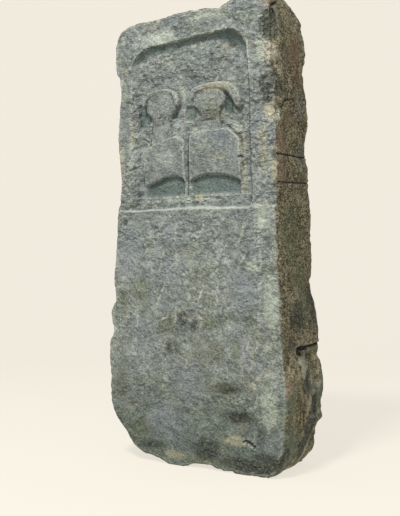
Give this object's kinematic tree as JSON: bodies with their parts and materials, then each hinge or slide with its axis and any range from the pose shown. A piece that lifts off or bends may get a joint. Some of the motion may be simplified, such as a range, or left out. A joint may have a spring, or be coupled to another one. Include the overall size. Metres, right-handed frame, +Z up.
{
  "type": "carved stone stele",
  "caption": "Upright weathered stone slab with busts in relief in a sunk niche, a bevelled ledge, and rows of worn strokes below.",
  "frame": {"origin": "on the ground under the middle of the slab, on the flat underside that it rests on", "axes": "+Z up along the slab's height, carved face towards -Y, +X to the right as one faces the carving"},
  "size_m": [0.6698, 0.26, 1.535],
  "materials": {
    "stone": "rough weathered"
  },
  "bodies": {
    "root": {"stele": "stone"}
  },
  "joints": []
}
